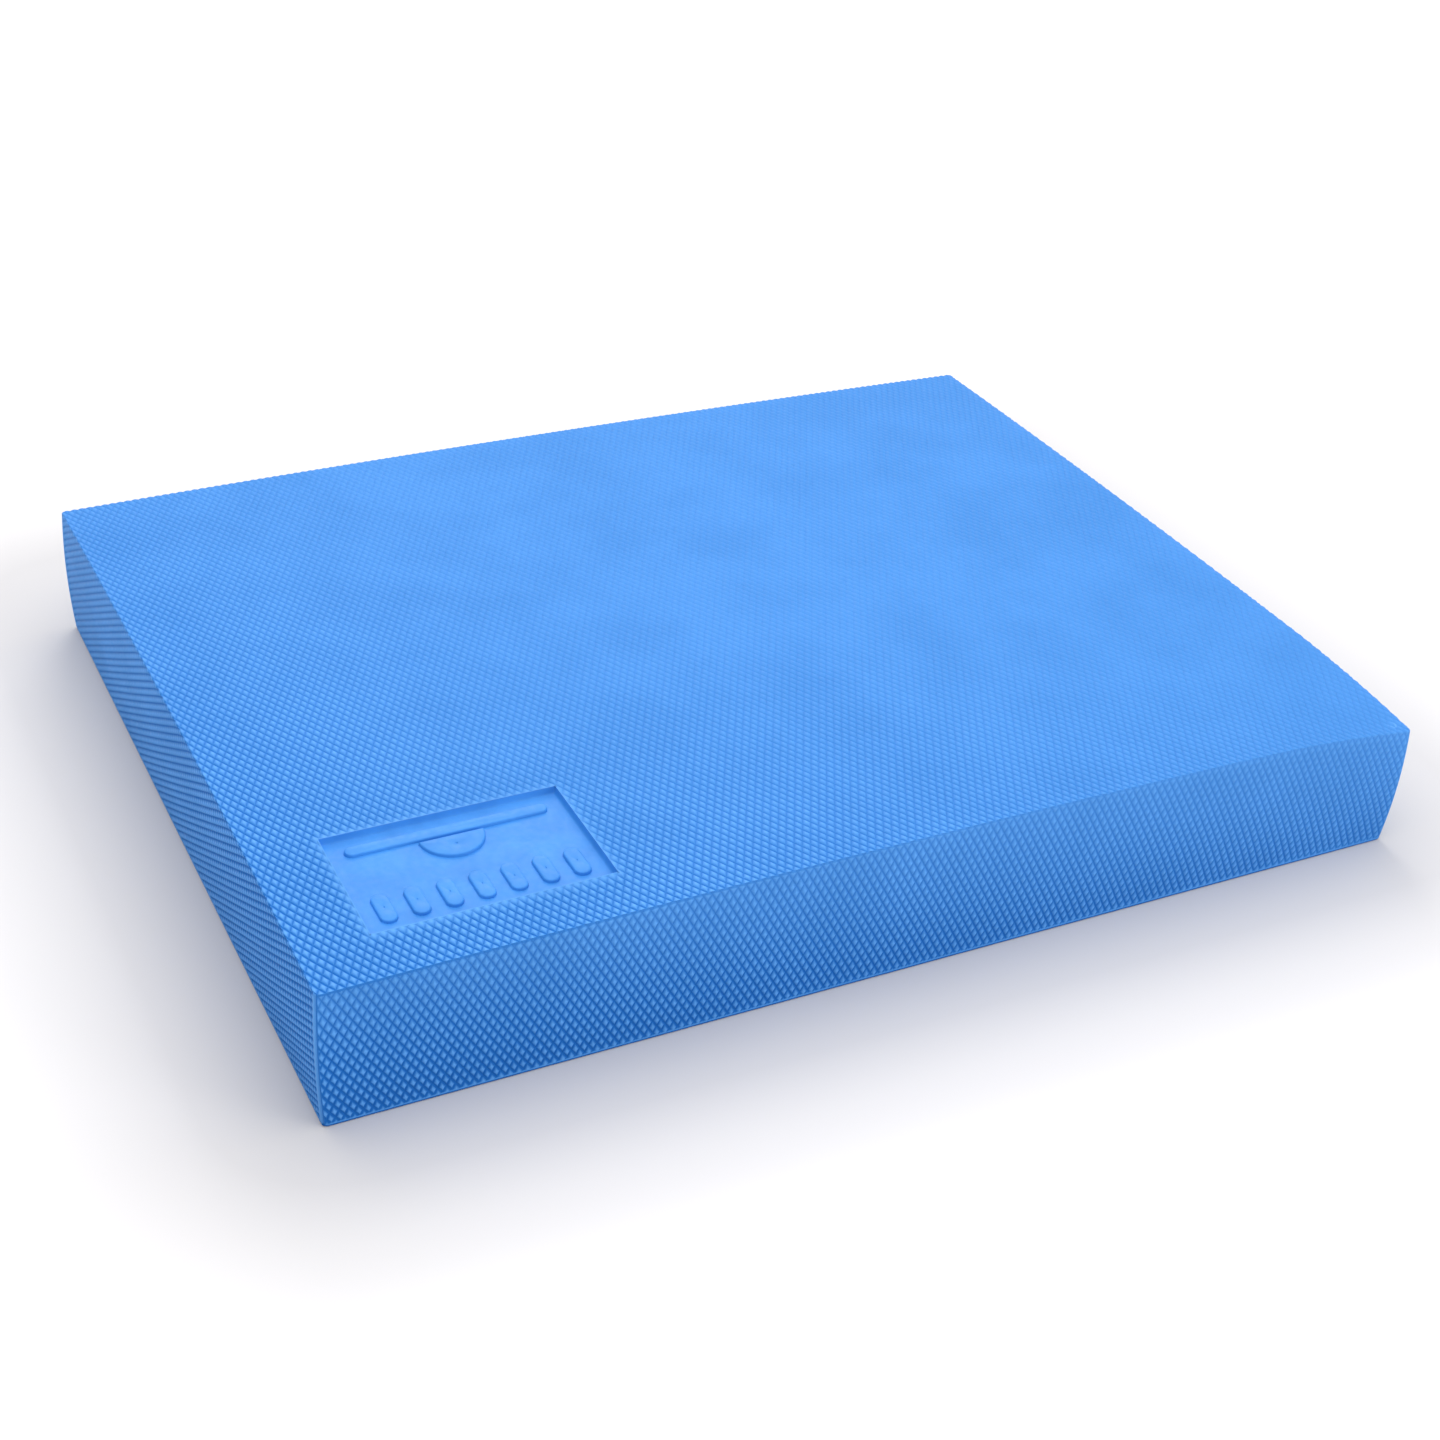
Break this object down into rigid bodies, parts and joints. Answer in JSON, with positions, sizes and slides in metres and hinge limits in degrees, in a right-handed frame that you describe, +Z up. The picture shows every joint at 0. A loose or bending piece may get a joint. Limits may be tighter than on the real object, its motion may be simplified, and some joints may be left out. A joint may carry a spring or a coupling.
{
  "type": "balance pad",
  "caption": "Thick rectangular foam pad with a fine diamond tread on every face and a smooth recessed badge panel with a raised emblem near one corner.",
  "frame": {"origin": "centre of the flat face that rests on the floor", "axes": "+X along the long side, +Y away from the side nearest the badge, +Z up"},
  "size_m": [0.4814, 0.3814, 0.0635],
  "materials": {
    "core_foam": "matte, open-cut closed-cell foam",
    "tread_skin": "soft satin foam skin with diamond tread",
    "smooth_skin": "smooth satin foam skin"
  },
  "bodies": {
    "root": {"foam_core": "core_foam", "top_skin": "tread_skin", "bottom_skin": "tread_skin", "front_skin": "tread_skin", "back_skin": "tread_skin", "left_skin": "tread_skin", "right_skin": "tread_skin", "badge_panel": "smooth_skin", "badge_emblem": "smooth_skin"}
  },
  "joints": []
}
